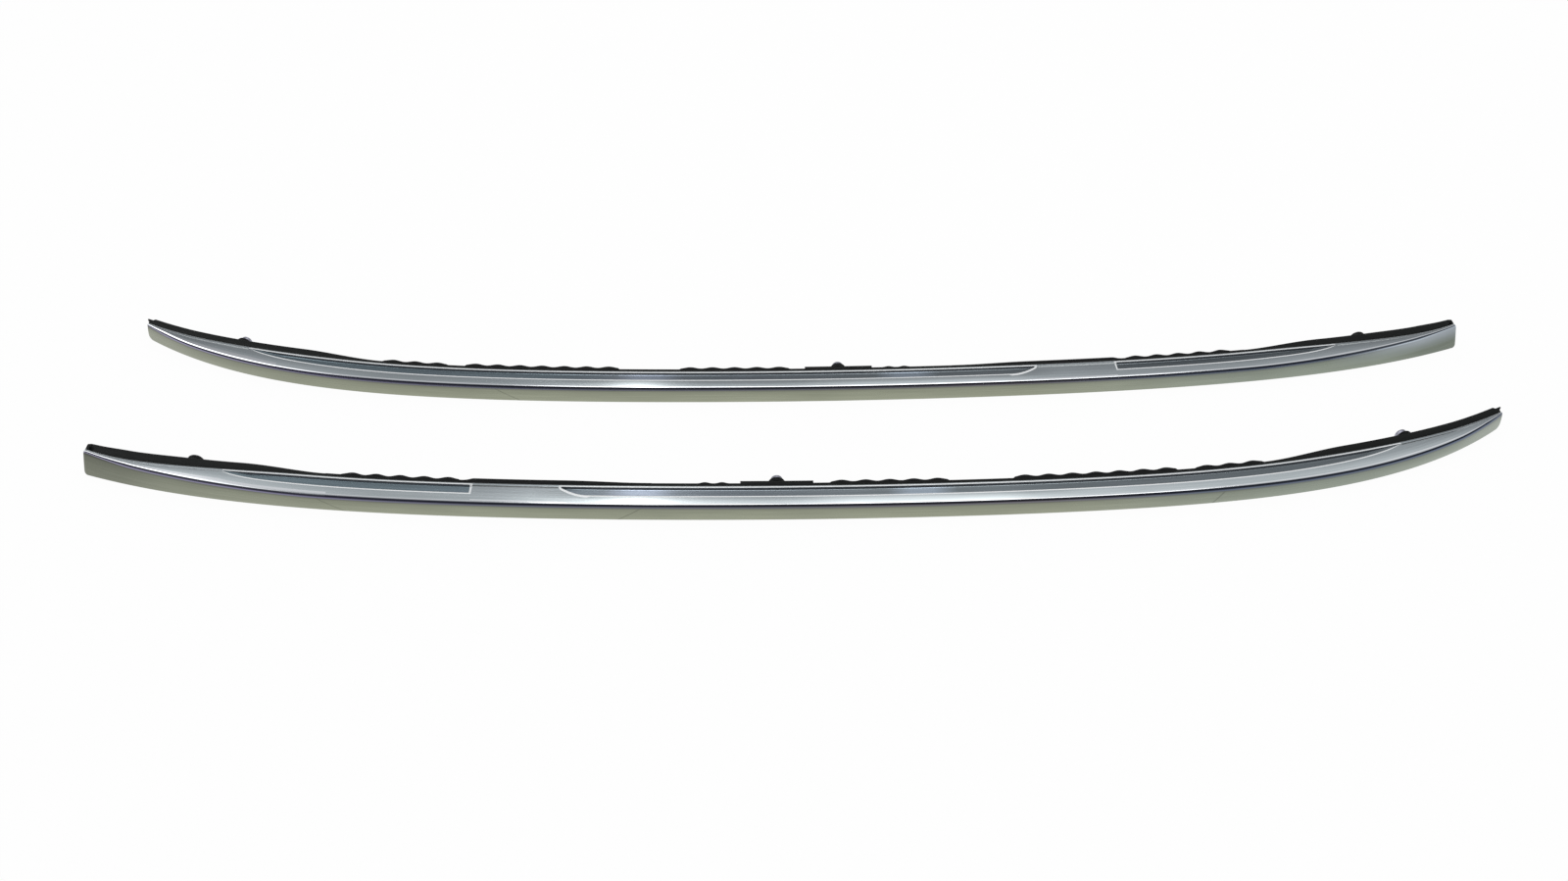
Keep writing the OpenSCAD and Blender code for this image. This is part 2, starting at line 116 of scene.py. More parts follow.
def roof_y(x):
    return bow(x) + lean(x) + side_d(x)


def low_z(x):
    return round_in(x, CORNER_R) + round_in(RAIL_LEN - x, TIP_R)


def high_z(x):
    return face_w(x) - round_in(x, TOP_R)


def raked(p):
    """The rear end leans forward and the tip leans back, more with height."""
    q = np.array(p, float)
    x, z = p[..., 0], p[..., 2]
    q[..., 0] += (REAR_RAKE * z / FACE_REAR * fade(x, RAKE_LEN, 1.0)
                  - FRONT_RAKE * z / FACE_FRONT * fade(RAIL_LEN - x, RAKE_LEN, 1.0))
    return q


def rake_gap(x):
    return np.where((x < RAKE_LEN) | (x > RAIL_LEN - RAKE_LEN), GAP, 0.0)


def at(f, x):
    return float(f(np.array([float(x)]))[0])


def ogive(d, length):
    """Opens like a long pointed leaf over the distance d from its tip."""
    return 1.0 - np.exp(-np.maximum(0.0, d) / length)


def groove_open(x):
    a = ogive(x - REAR_GROOVE[0], REAR_OPEN) * (x < REAR_GROOVE[1])
    b = np.minimum(1.0 - (1.0 - rise(x - FRONT_GROOVE[0], SPOON)) ** SPOON_CURVE,
                   ogive(FRONT_GROOVE[1] - x, TAPER))
    return np.where(x < 0.5 * (REAR_GROOVE[1] + FRONT_GROOVE[0]), a, b)


def groove_sink(x):
    a = rise(x - REAR_GROOVE[0], REAR_OPEN) * (x < REAR_GROOVE[1])
    b = np.minimum(rise(x - FRONT_GROOVE[0], SPOON / 8.0), rise(FRONT_GROOVE[1] - x, TAPER))
    return np.where(x < 0.5 * (REAR_GROOVE[1] + FRONT_GROOVE[0]), a, b)


def rim_width(x):
    """Width of the painted highlight along the groove's rounded rim, wider round the spoon end."""
    spoon = np.abs(x - FRONT_GROOVE[0] - 0.5 * SPOON) < 0.56 * SPOON
    return np.where(spoon, SPOON_RIM_W, RIM_W) * np.minimum(1.0, 3.0 * groove_sink(x))


TIP_ANGLE = math.atan2(at(roof_y, RAIL_LEN + 1) - at(roof_y, RAIL_LEN - 1), 2.0)
TAB_W = FACE_FRONT - 2 * TIP_R
TAB_Z = FACE_FRONT - SIDE_DRAFT - INSET
TAB_X = RAIL_LEN - FRONT_RAKE * TAB_Z / FACE_FRONT
TAB_Y = at(roof_y, RAIL_LEN) + FRONT_PAD_T - TIP_STEP - TAB_T - 2 * GAP
FAR_X = TAB_X + TAB_LEN * math.cos(TIP_ANGLE) - TAB_T * math.sin(TIP_ANGLE)
FAR_Y = TAB_Y + TAB_LEN * math.sin(TIP_ANGLE) + TAB_T * math.cos(TIP_ANGLE)
MIDDLE = (PAIR_GAP - CROWN + FAR_Y * math.cos(SPLAY) - (FAR_X - RAIL_LEN / 2) * math.sin(SPLAY)) / 2


def place(points, side):
    """Points of one rail in millimetres to the row frame in metres."""
    p = np.asarray(points, float)
    if side == "right":
        q = p + np.array([-RAIL_LEN / 2 - STAGGER / 2, -MIDDLE, 0.0])
    else:
        x, y = -(p[..., 0] - RAIL_LEN / 2), p[..., 1]
        c, s = math.cos(SPLAY), math.sin(SPLAY)
        q = np.stack([STAGGER / 2 + c * x - s * y, -MIDDLE + PAIR_GAP + s * x + c * y, p[..., 2]], -1)
    return q * MM


# mesh helpers
def make_mesh(name, verts, faces, uvs=None, slots=None, mats=(), smooth=True):
    me = bpy.data.meshes.new(name)
    me.from_pydata([tuple(v) for v in verts], [], [tuple(f) for f in faces])
    if uvs is not None:
        layer = me.uv_layers.new(name="UVMap")
        loops = np.zeros(len(me.loops), np.int32)
        me.loops.foreach_get("vertex_index", loops)
        layer.data.foreach_set("uv", np.asarray(uvs, np.float32)[loops].ravel())
    for m in mats:
        me.materials.append(m)
    if slots is not None:
        me.polygons.foreach_set("material_index", np.asarray(slots, np.int32))
    me.polygons.foreach_set("use_smooth", np.full(len(me.polygons), smooth))
    me.validate()
    me.update()
    ob = bpy.data.objects.new(name, me)
    bpy.context.scene.collection.objects.link(ob)
    return ob


def ring_loft(name, rings, side, bands=None, mats=(), origin=0):
    """rings: (stations, points, 3) in the rail's own millimetres. bands: material of each strip of the
    ring, one number or one for each station. The ends are closed with the first material.
    The map's U runs along the rail and its V round the ring, both in metres, with V = 0 at point origin."""
    rings = np.asarray(rings, float)
    m, n = rings.shape[:2]
    step = np.linalg.norm(np.diff(rings, axis=1), axis=2)
    v = np.concatenate([np.zeros((m, 1)), np.cumsum(step, 1)], 1)
    v = v - v[:, origin:origin + 1]
    uv = np.stack([rings[..., 0], v], -1).reshape(-1, 2) * MM
    verts = place(raked(rings.reshape(-1, 3)), side)
    faces, slots = [], []
    for j in range(n):
        jj = (j + 1) % n
        a0 = np.arange(m - 1) * n
        quads = np.stack([a0 + j, a0 + jj, a0 + n + jj, a0 + n + j], -1)
        faces.append(quads if side == "right" else quads[:, ::-1])
        slots.append(np.broadcast_to(0 if bands is None else bands[j], m)[:-1])
    faces = [list(map(int, f)) for f in np.concatenate(faces)]
    slots = [int(v) for v in np.concatenate(slots)]
    for row, turn in ((0, True), (m - 1, False)):
        c = len(verts)
        verts = np.vstack([verts, verts[row * n:(row + 1) * n].mean(0)])
        uv = np.vstack([uv, uv[row * n:(row + 1) * n].mean(0)])
        for j in range(n):
            jj = (j + 1) % n
            tri = [c, row * n + jj, row * n + j] if turn else [c, row * n + j, row * n + jj]
            faces.append(tri if side == "right" else tri[::-1])
            slots.append(0)
    return make_mesh(name, verts, faces, uv, slots, mats)


def arc(a0, a1, n):
    return np.radians(np.linspace(a0, a1, n))


# materials
def socket(node, name, value):
    node.inputs[name].default_value = value


class Nodes:
    """Small helper that adds nodes to one material."""

    def __init__(self, name):
        self.mat = bpy.data.materials.new(name)
        self.mat.use_nodes = True
        self.tree = self.mat.node_tree
        self.bsdf = self.tree.nodes["Principled BSDF"]

    def add(self, kind, **props):
        node = self.tree.nodes.new(kind)
        for k, v in props.items():
            setattr(node, k, v)
        return node

    def link(self, a, b):
        self.tree.links.new(a, b)

    def coords(self, space, scale):
        tc = self.add("ShaderNodeTexCoord")
        mp = self.add("ShaderNodeMapping")
        socket(mp, "Scale", scale)
        self.link(tc.outputs[space], mp.inputs["Vector"])
        return mp.outputs["Vector"]

    def parts(self, space):
        """The x, y and z of a coordinate."""
        sep = self.add("ShaderNodeSeparateXYZ")
        self.link(self.coords(space, (1.0, 1.0, 1.0)), sep.inputs[0])
        return sep.outputs

    def noise(self, vector, scale, detail=4.0, rough=0.55):
        n = self.add("ShaderNodeTexNoise")
        socket(n, "Scale", scale)
        socket(n, "Detail", detail)
        socket(n, "Roughness", rough)
        self.link(vector, n.inputs["Vector"])
        return n.outputs["Fac"]

    def ramp(self, fac, stops):
        """A colour ramp. A stop's colour may be one number, which means a grey."""
        r = self.add("ShaderNodeValToRGB")
        e = r.color_ramp.elements
        while len(e) < len(stops):
            e.new(0.5)
        for el, (pos, col) in zip(e, stops):
            el.position = pos
            el.color = (*(grey(col) if isinstance(col, float) else col), 1.0)
        self.link(fac, r.inputs["Fac"])
        return r.outputs["Color"]

    def span(self, fac, lo, hi, a=0.3, b=0.7):
        m = self.add("ShaderNodeMapRange")
        for k, v in (("From Min", a), ("From Max", b), ("To Min", lo), ("To Max", hi)):
            socket(m, k, v)
        self.link(fac, m.inputs["Value"])
        return m.outputs["Result"]

    def mix(self, fac, a, b, blend="MIX"):
        m = self.add("ShaderNodeMix", data_type="RGBA", blend_type=blend)
        if isinstance(fac, float):
            m.inputs[0].default_value = fac
        else:
            self.link(fac, m.inputs[0])
        for sock, val in ((m.inputs[6], a), (m.inputs[7], b)):
            if isinstance(val, tuple):
                sock.default_value = (*val, 1.0)
            else:
                self.link(val, sock)
        return m.outputs[2]

    def times(self, a, b):
        return self.mix(1.0, a, b, "MULTIPLY")

    def math(self, operation, a, b=None):
        m = self.add("ShaderNodeMath", operation=operation)
        for sock, val in zip(m.inputs, (a, b)):
            if isinstance(val, float):
                sock.default_value = val
            elif val is not None:
                self.link(val, sock)
        return m.outputs[0]

    def bump(self, height, strength, distance):
        b = self.add("ShaderNodeBump")
        socket(b, "Strength", strength)
        socket(b, "Distance", distance)
        self.link(height, b.inputs["Height"])
        return b.outputs["Normal"]


METAL_GRAIN = 0.00002  # height of the metal's fine grain, in metres
RUBBER_GLOSS = 0.16


def grey(v):
    return (v, v, v)


def metal(name, dark, light, rough, streak=(7.0, 700.0), metallic=1.0, shade=None):
    """Anodised metal with fine lines along the rail. dark and light are the limits of its tone, in which the
    rail's copies carry painted reflection, glint, highlight or shade. shade is a function that paints further
    reflection or shade into the tone."""
    t = Nodes(name)
    lines = t.noise(t.coords("UV", (streak[0], streak[1], 1.0)), 1.0, 3.0, 0.6)
    cloud = t.noise(t.coords("UV", (9.0, 45.0, 1.0)), 1.0, 3.0, 0.5)
    tone = t.ramp(lines, [(0.3, dark), (0.7, light)])
    tone = t.mix(t.span(cloud, 0.0, 0.3), tone, tuple(0.86 * c for c in dark))
    if shade:
        tone = shade(t, tone)
    t.link(tone, t.bsdf.inputs["Base Color"])
    t.link(t.span(cloud, rough[0], rough[1]), t.bsdf.inputs["Roughness"])
    fine = t.noise(t.coords("UV", (40.0, 5200.0, 1.0)), 1.0, 2.0, 0.5)
    t.link(t.bump(fine, 0.25, METAL_GRAIN), t.bsdf.inputs["Normal"])
    socket(t.bsdf, "Metallic", metallic)
    return t.mat


# faint slanting painted dark reflection lines on the faces: x in metres, x over height, whether it is on the
# far rail
REFLECTION_LINES = ((-0.614, -1.6, False), (-0.234, 1.45, False), (0.524, 0.6, False), (-0.413, -1.6, True))


def face_shade(t, tone):
    """Painted reflection and shade on the face: darker and bluer just under the crease and at its very lower
    edge, lighter low down, dark near the blunt end and a little bluer to the right. At the far rail's right
    end a painted sky reflection tints it."""
    u, v = t.parts("UV")[:2]
    across = t.span(v, 0.0, 1.0, -0.038, 0.0)
    by_v = t.ramp(across, ((0.0, 0.60), (0.05, 0.66), (0.12, 1.0), (0.28, 1.0), (0.6, 0.93), (0.84, 0.80),
                           (0.93, (0.44, 0.44, 0.50)), (1.0, (0.22, 0.22, 0.27))))
    by_u = t.ramp(t.span(u, 0.0, 1.0, 0.0, RAIL_LEN * MM),
                  ((0.0, 0.58), (0.03, 0.62), (0.07, 0.86), (0.14, 0.94), (0.3, 1.0), (0.6, 1.0), (0.8, 0.96),
                   (1.0, 0.94)))
    tone = t.times(t.times(tone, by_v), by_u)
    for x0, slant, far in REFLECTION_LINES:
        tone = painted_reflection_line(t, tone, x0, slant, far)
    tone = t.times(tone, by_place(t, ((-0.9, (1.0, 1.0, 1.04)), (-0.6, 1.0), (0.3, 1.0),
                                      (0.6, (0.95, 1.0, 1.10)), (0.9, (0.93, 1.0, 1.10)))))
    sky = t.ramp(across, ((0.40, 0.0), (0.62, 0.35), (0.80, 0.75), (1.0, 1.0)))
    return t.mix(t.math("MULTIPLY", far_right(t, 0.74, 0.88), sky), tone, (0.37, 0.41, 0.45))


def far_right(t, lo, hi):
    """Rises from 0 to 1 between x = lo and x = hi on the far rail, in metres, and is 0 on the near one."""
    x, y = t.parts("Object")[:2]
    return t.math("MULTIPLY", t.span(x, 0.0, 1.0, lo, hi), t.math("GREATER_THAN", y, 0.0))


def painted_reflection_line(t, tone, x0, slant, far):
    """A faint slanting painted dark reflection line on the face of one rail."""
    x, y, z = t.parts("Object")
    lean_off = t.math("MULTIPLY", t.math("SUBTRACT", z, 0.011), slant)
    off = t.math("SUBTRACT", t.math("SUBTRACT", x, x0), lean_off)
    line = t.span(t.math("ABSOLUTE", off), 0.42, 0.0, 0.0004, 0.0018)
    low = t.span(z, 1.0, 0.0, 0.019, 0.023)
    rail = t.math("GREATER_THAN" if far else "LESS_THAN", y, 0.0)
    return t.mix(t.math("MULTIPLY", t.math("MULTIPLY", line, low), rail), tone, (0.05, 0.052, 0.045))


def by_place(t, stops):
    """A tone that changes along the pair, from left to right. The stops are places in metres."""
    half = RAIL_LEN / 2 * MM
    x = t.parts("Object")[0]
    return t.ramp(t.span(x, 0.0, 1.0, -half, half), [((at_x + half) / (2 * half), c) for at_x, c in stops])


def crease_shade(t, tone):
    """Painted reflection in the crease: violet to the left, black in the middle, dark blue to the right, pale
    at the far rail's right end.
    """
    tone = t.times(tone, by_place(t, ((-0.95, (0.80, 0.76, 0.92)), (-0.65, (0.50, 0.48, 0.62)),
                                      (-0.4, (0.34, 0.36, 0.42)), (0.0, (0.36, 0.37, 0.38)),
                                      (0.3, (0.44, 0.42, 0.42)), (0.5, (0.34, 0.40, 0.46)),
                                      (0.95, (0.34, 0.42, 0.52)))))
    return t.mix(far_right(t, 0.74, 0.86), tone, (0.46, 0.52, 0.58))


def land_shade(t, tone):
    """Painted reflection on the side: greyer towards its ends and darker in a stretch to the left. In the
    middle it is darker beside the groove than at the crease."""
    tone = t.times(tone, by_place(t, ((-0.95, 0.76), (-0.82, 0.92), (-0.70, 0.86), (-0.55, 0.72),
                                      (-0.42, 0.78), (-0.3, 1.0), (0.3, 1.0), (0.5, 0.86), (0.95, 0.86))))
    by_v = t.ramp(t.span(t.parts("UV")[1], 0.0, 1.0, 0.0, 0.04),
                  ((0.0, 1.0), (0.15, 1.0), (0.23, 0.86), (0.33, 0.66), (0.43, 0.56), (0.6, 0.56),
                   (0.8, 1.0)))
    inner = by_place(t, ((-0.36, 0.0), (-0.28, 1.0), (0.28, 1.0), (0.36, 0.0)))
    return t.mix(inner, tone, t.times(tone, by_v))


def floor_shade(t, tone):
    """Painted shade and highlights on the groove's floor: lighter in two painted bright spots, and bluer to
    the left as a painted reflection.
    """
    return t.times(tone, by_place(t, ((-0.8, (1.15, 1.3, 1.35)), (-0.35, (1.1, 1.2, 1.25)),
                                      (-0.265, (1.0, 1.0, 1.05)), (-0.235, (1.6, 1.6, 1.8)),
                                      (-0.205, (1.6, 1.6, 1.8)), (-0.175, (1.05, 1.05, 1.1)), (0.095, 0.95),
                                      (0.125, (1.7, 1.75, 1.9)), (0.155, (1.7, 1.75, 1.9)), (0.185, 0.95),
                                      (0.9, 1.0))))


def black(name, dark, light, rough, grain_scale, grain):
    """Black rubber or plastic with grain, dusty patches and fine marks."""
    t = Nodes(name)
    obj = t.coords("Object", (1.0, 1.0, 1.0))
    dust = t.noise(obj, 38.0, 5.0, 0.6)
    marks = t.noise(t.coords("Object", (25.0, 300.0, 300.0)), 1.0, 3.0, 0.6)
    tone = t.ramp(dust, [(0.35, dark), (0.75, light)])
    tone = t.mix(t.span(marks, 0.0, 0.35, 0.5, 0.75), tone, tuple(1.4 * c for c in light))
    t.link(tone, t.bsdf.inputs["Base Color"])
    t.link(t.span(dust, rough[0], rough[1]), t.bsdf.inputs["Roughness"])
    g = t.noise(obj, grain_scale, 2.0, 0.5)
    t.link(t.bump(g, 0.5, grain), t.bsdf.inputs["Normal"])
    socket(t.bsdf, "Metallic", 0.0)
    socket(t.bsdf, "Specular IOR Level", RUBBER_GLOSS)
    return t.mat


# the face's dark olive tone is a painted reflection of the ground beside the rail
face_painted_reflection_metal = metal("rail_face_painted_reflection", (0.305, 0.325, 0.245), (0.375, 0.395, 0.305), (0.24, 0.34), shade=face_shade)
# darker, bluish copy: the crease's painted dark reflection
crease_painted_reflection_metal = metal("rail_crease", (0.34, 0.34, 0.40), (0.42, 0.42, 0.48), (0.12, 0.18), shade=crease_shade)
# the metal's own light tone, a little blue as a painted sky reflection; land_shade paints more reflection
land_painted_reflection_metal = metal("rail_side_painted_reflection", (0.62, 0.68, 0.695), (0.76, 0.82, 0.835), (0.11, 0.17), (5.0, 420.0),
                   shade=land_shade)
# darker copy: painted shade in the groove's recess
floor_painted_shade_metal = metal("groove_floor_painted_shade_and_highlights", (0.190, 0.218, 0.232), (0.290, 0.325, 0.345), (0.15, 0.24), (4.0, 260.0),
                    shade=floor_shade)
# near-white, barely metallic copy: a painted highlight where the rounded rim catches light
rim_painted_highlight = metal("groove_rim_painted_highlight", (0.90, 0.93, 0.94), (0.96, 0.98, 0.99), (0.22, 0.30), metallic=0.2)
# dark copy: painted shade on the groove's walls
wall_painted_shade_metal = metal("groove_wall_painted_shade", (0.10, 0.115, 0.13), (0.17, 0.19, 0.21), (0.20, 0.30))
under_metal = metal("rail_underside", (0.30, 0.31, 0.30), (0.40, 0.41, 0.40), (0.30, 0.42))
# brighter, smoother copy: the crease's painted glint
glint_painted_metal = metal("rail_crease_painted_glint", (0.76, 0.78, 0.80), (0.86, 0.88, 0.90), (0.07, 0.10))
strip_black = black("underlay_rubber", (0.004, 0.005, 0.005), (0.009, 0.010, 0.010), (0.55, 0.8), 900.0,
                    0.00006)
pad_black = black("pad_plastic", (0.004, 0.005, 0.005), (0.009, 0.011, 0.010), (0.45, 0.65), 1600.0, 0.00004)
lip_black = black("seal_rubber", (0.005, 0.006, 0.006), (0.011, 0.012, 0.013), (0.5, 0.7), 1100.0, 0.00005)
collar_black = black("collar_rubber", (0.005, 0.006, 0.006), (0.012, 0.013, 0.013), (0.45, 0.65), 1300.0,
                     0.00004)

# copies of the rail's one metal: all but the underside's carry painted reflection, glint, highlight or shade
# in their tones
METALS = (face_painted_reflection_metal, crease_painted_reflection_metal, land_painted_reflection_metal, floor_painted_shade_metal, rim_painted_highlight, wall_painted_shade_metal, under_metal, glint_painted_metal)
FACE, CREASE, LAND, FLOOR, RIM, WALL, UNDER, GLINT = range(8)


def turned(name, dark, light, rough):
    """Plain turned metal, cloudy rather than lined."""
    t = Nodes(name)
    obj = t.coords("Object", (1.0, 1.0, 1.0))
    n = t.noise(obj, 420.0, 4.0, 0.6)
    big = t.noise(obj, 70.0, 3.0, 0.5)
    tone = t.mix(t.span(big, 0.0, 0.6), t.ramp(n, [(0.3, dark), (0.7, light)]), dark)
    t.link(tone, t.bsdf.inputs["Base Color"])
    t.link(t.span(n, rough[0], rough[1]), t.bsdf.inputs["Roughness"])
    t.link(t.bump(n, 0.3, 0.00005), t.bsdf.inputs["Normal"])
    socket(t.bsdf, "Metallic", 1.0)
    return t.mat


spigot_grey = turned("spigot_metal", (0.30, 0.30, 0.36), (0.46, 0.46, 0.52), (0.34, 0.5))
anchor_zinc = turned("anchor_zinc", (0.42, 0.42, 0.40), (0.60, 0.60, 0.58), (0.3, 0.45))


# the rails
def cos_steps(a, b, n, start=True):
    """Stations that crowd towards the start or the end of a stretch."""
    turn = np.linspace(0, math.pi / 2, n)
    return a + (b - a) * (1.0 - np.cos(turn) if start else np.sin(turn))


def rail_stations():
    x = [cos_steps(0, CORNER_R, 9), np.arange(CORNER_R, 60, 3.0), np.arange(60, RAIL_LEN - 60, 7.0),
         np.arange(RAIL_LEN - 60, RAIL_LEN - TIP_R, 2.5), cos_steps(RAIL_LEN - TIP_R, RAIL_LEN, 12, False)]
    for end in (*REAR_GROOVE, *FRONT_GROOVE, REAR_GROOVE[1] - SQUARE_WALL, FRONT_GROOVE[0] + SPOON_WALL):
        x.append(end + np.array([-0.6, -0.3, 0.0, 0.3, 0.6]))
    x.append(np.arange(FRONT_GROOVE[0], FRONT_GROOVE[0] + SPOON + 1, 1.0))
    x.append(np.arange(FRONT_GROOVE[1] - TAPER, FRONT_GROOVE[1], 3.0))
    x.append(np.arange(REAR_GROOVE[0], REAR_GROOVE[0] + REAR_OPEN, 3.0))
    x = np.unique(np.round(np.concatenate(x), 3))
    keep = [x[0]]
    for v in x[1:]:
        if v - keep[-1] > 0.15:
            keep.append(v)
    keep[-1] = RAIL_LEN
    return np.array(keep)


def rail_rings(side):
    """Sections of the rail, the material of each strip and the point of the crease where V is 0."""
    x = rail_stations()
    # the crease has a painted glint at the left end of the pair as it lies
    painted_glint_mask = x < GLINT_REAR if side == "right" else x > GLINT_TIP
    b, s, l = bow(x), side_d(x), lean(x)
    e = round_in(x, END_R)
    z0, z1 = low_z(x), high_z(x)
    f = np.maximum(l, e)
    c = np.minimum(CREASE_R, 0.4 * s)
    o = np.minimum(OUTER_R, 0.4 * (l + s - e))
    edge = np.minimum(EDGE_R, 0.1 * s)
    pts, bands = [], []

    def put(y, z, band):
        pts.append(np.stack([x, b + y, z + 0 * x], -1))
        bands.append(band)

    def side_z(y):
        return land_z(y, y_start, s, c, z1)

    # back of the rail, hidden by the underlay, and the outboard side on the floor
    put(l + s, z0 + edge, UNDER)
    for a in arc(30, 90, 3):
        put(l + s - edge * (1 - math.cos(a)), z0 + edge * (1 - math.sin(a)), UNDER)
    for u in (0.25, 0.5, 0.75):
        put((l + s - edge) * (1 - u) + (e + o) * u, z0, UNDER)
    # outboard edge of the top face
    for i, a in enumerate(arc(0, 90, 8)):
        put(e + o * (1 - math.sin(a)), z0 + o * (1 - math.cos(a)), UNDER if i == 0 else FACE)
    # crowned top face
    lo, hi = z0 + o, z1 - c
    for u in np.linspace(0, 1, 15)[1:-1]:
        put(e + (f - e) * u - CROWN * (1 - (2 * u - 1) ** 2), lo + (hi - lo) * u, FACE)
    # crease: an arc that runs on into the land's slight crown, with a painted glint on its last part
    steps = 15
    crease = len(pts) + steps // 2
    glint_from = np.where(painted_glint_mask, 9, 11)
    for i, a in enumerate(arc(90, CREASE_END, steps)):
        put(f + c * (1 - math.sin(a)), z1 - c + c * math.cos(a) - crown_drop(s),
            FACE if i == 0 else np.where(i >= glint_from, GLINT, CREASE))
    # land up to the groove's rim
    lip_w = np.minimum(GROOVE_LIP, 0.3 * s)
    sink = groove_sink(x)
    tiny = np.minimum(0.1, s / 60)
    wide = np.maximum(GROOVE_W * groove_open(x), 6 * tiny)
    rim2 = s - lip_w
    rim1 = rim2 - wide
    y_start = f + c * (1 - math.sin(math.radians(CREASE_END))) - l
    bright = np.minimum(rim_width(x), 0.3 * (rim1 - y_start))
    shut = sink < 0.05
    # the grooves' end walls carry the rim's painted highlight, a glint on the end ramp
    end_wall = (((x > FRONT_GROOVE[0] - 1) & (x < FRONT_GROOVE[0] + SPOON_WALL))
                | ((x > REAR_GROOVE[1] - SQUARE_WALL) & (x < REAR_GROOVE[1] + 0.5)))
    rim = np.where(shut, LAND, RIM)
    floor = np.where(shut, LAND, np.where(end_wall, RIM, FLOOR))
    wall = np.where(shut, LAND, np.where(end_wall, RIM, WALL))
    # the land's first strips by the crease carry the painted glint where it is painted
    for u in np.linspace(0, 1, 10)[1:]:
        y = y_start + (rim1 - RIM_R * sink - bright - y_start) * u
        put(l + y, side_z(y), rim if u == 1 else np.where(painted_glint_mask & (u < 0.3), GLINT, LAND))
    # groove: rounded rim, wall, floor, wall, rounded rim
    z_rim1, z_rim2 = side_z(rim1), side_z(rim2)
    slope = np.minimum(GROOVE_SLOPE * sink + tiny, 0.3 * wide)
    r = np.minimum(RIM_R * sink + 0.2 * tiny, 0.2 * wide)
    depth = GROOVE_D * sink
    for u in (0.0, 0.35, 0.7, 1.0):
        put(l + rim1 - r + 1.3 * r * u, z_rim1 - 0.5 * r * u * u, rim)
    put(l + rim1 + 0.3 * r + 0.1 * slope, z_rim1 - 0.5 * r - 0.1 * depth, wall)
    put(l + rim1 + slope, z_rim1 - 0.9 * depth, wall)
    put(l + rim1 + slope + 0.2 * tiny + FLOOR_R * sink, z_rim1 - depth, floor)
    for u in np.linspace(0, 1, 9)[1:-1]:
        y = rim1 + slope + FLOOR_R * sink + (rim2 - rim1 - 2 * slope - 2 * FLOOR_R * sink) * u
        put(l + y, z_rim1 - depth + (z_rim2 - z_rim1) * u, floor)
    put(l + rim2 - slope - 0.2 * tiny - FLOOR_R * sink, z_rim2 - depth, floor)
    put(l + rim2 - slope, z_rim2 - 0.9 * depth, wall)
    put(l + rim2 - 0.3 * r - 0.1 * slope, z_rim2 - 0.5 * r - 0.1 * depth, wall)
    for u in (1.0, 0.7, 0.35, 0.0):
        put(l + rim2 + r - 1.3 * r * u, z_rim2 - 0.5 * r * u * u, rim)
    # lip and roof edge
    for u, band in ((0.3, rim), (0.65, LAND)):
        y = rim2 + (s - edge - rim2) * u
        put(l + y, side_z(y), band)
    z_edge = side_z(s)
    for a in arc(90, 0, 4):
        put(l + s - edge * (1 - math.cos(a)), z_edge - edge * (1 - math.sin(a)), LAND)
    put(l + s, z_edge - 2.5, UNDER)
    put(l + s, 0.5 * (z0 + z_edge), UNDER)
    return np.stack(pts, 1), bands, crease


def crown_drop(s):
    """How far the crease's end lies below the land's highest point."""
    return np.minimum(LAND_CROWN, 0.012 * s)


def land_z(y, y0, s, c, z1):
    """Height of the grooved side at y: it rises a little from the crease, then falls with the draft."""
    u = np.clip((y - y0) / np.maximum(0.45 * s, 0.01), 0.0, 1.0)
    up = crown_drop(s) * (1.0 - (1.0 - u) ** 2)
    start = z1 - c + c * math.cos(math.radians(CREASE_END)) - crown_drop(s)
    return start + up - SIDE_DRAFT * (y / s) ** 1.5


def build_rail(side):
    rings, bands, crease = rail_rings(side)
    # every vertex column was put with the material of the strip that follows it
    ob = ring_loft(side + "_rail_skin", rings, side, bands, METALS, origin=crease)
    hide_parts(side + "_rail")
    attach(ob, "root")


# underlay, pads and seal lip
def rounded_box_ring(x, y0, y1, z0, z1, r, n=5):
    """Ring of a strip on the roof edge with rounded back edges, from the front bottom corner round."""
    pts = [np.stack([x, y0, z0], -1), np.stack([x, y0, 0.5 * (z0 + z1)], -1), np.stack([x, y0, z1 - 0.3], -1),
           np.stack([x, y0 + 0.3, z1], -1)]
    for a in arc(90, 0, n):
        pts.append(np.stack([x, y1 - r + r * math.cos(a), z1 - r + r * math.sin(a)], -1))
    pts.append(np.stack([x, y1, 0.5 * (z0 + z1)], -1))
    for a in arc(0, -90, n):
        pts.append(np.stack([x, y1 - r + r * math.cos(a), z0 + r + r * math.sin(a)], -1))
    return np.stack(pts, 1)


def stations(a, b, step):
    return np.linspace(a, b, max(2, int(math.ceil((b - a) / step)) + 1))


def rear_pad_t(x):
    """Thickness of the rear pad. Towards the blunt end and on its ramp it is thinner than in the part."""
    return (STRIP_T + (REAR_PAD_T - STRIP_T) * (1 - ease(rise(x - REAR_PAD, RAMP)))
            - REAR_THIN * ease(1 - rise(x, REAR_THIN_LEN)) - NOSE_THIN * ease(1 - rise(x, NOSE_LEN))
            - RAMP_THIN * ease(rise(x - RAMP_THIN_X, RAMP_THIN_LEN)) * ease(1 - rise(x - REAR_PAD, RAMP)))


def front_pad_t(x):
    return (STRIP_T + (FRONT_PAD_T - STRIP_T) * ease(rise(x - (RAIL_LEN - FRONT_PAD - RAMP), RAMP))
            - TIP_STEP * rise(x - RAIL_LEN + TIP_R, TIP_R / 2))


def pad_piece(name, node, side, x, t, mat, r, inset=INSET, back=0.0):
    y0 = roof_y(x) + back + rake_gap(x)
    z0 = low_z(x) + inset
    z1 = high_z(x) - SIDE_DRAFT - inset
    ob = ring_loft(name, rounded_box_ring(x, y0, roof_y(x) + t, z0, z1, r), side, None, (mat,))
    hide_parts(node)
    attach(ob, "root")


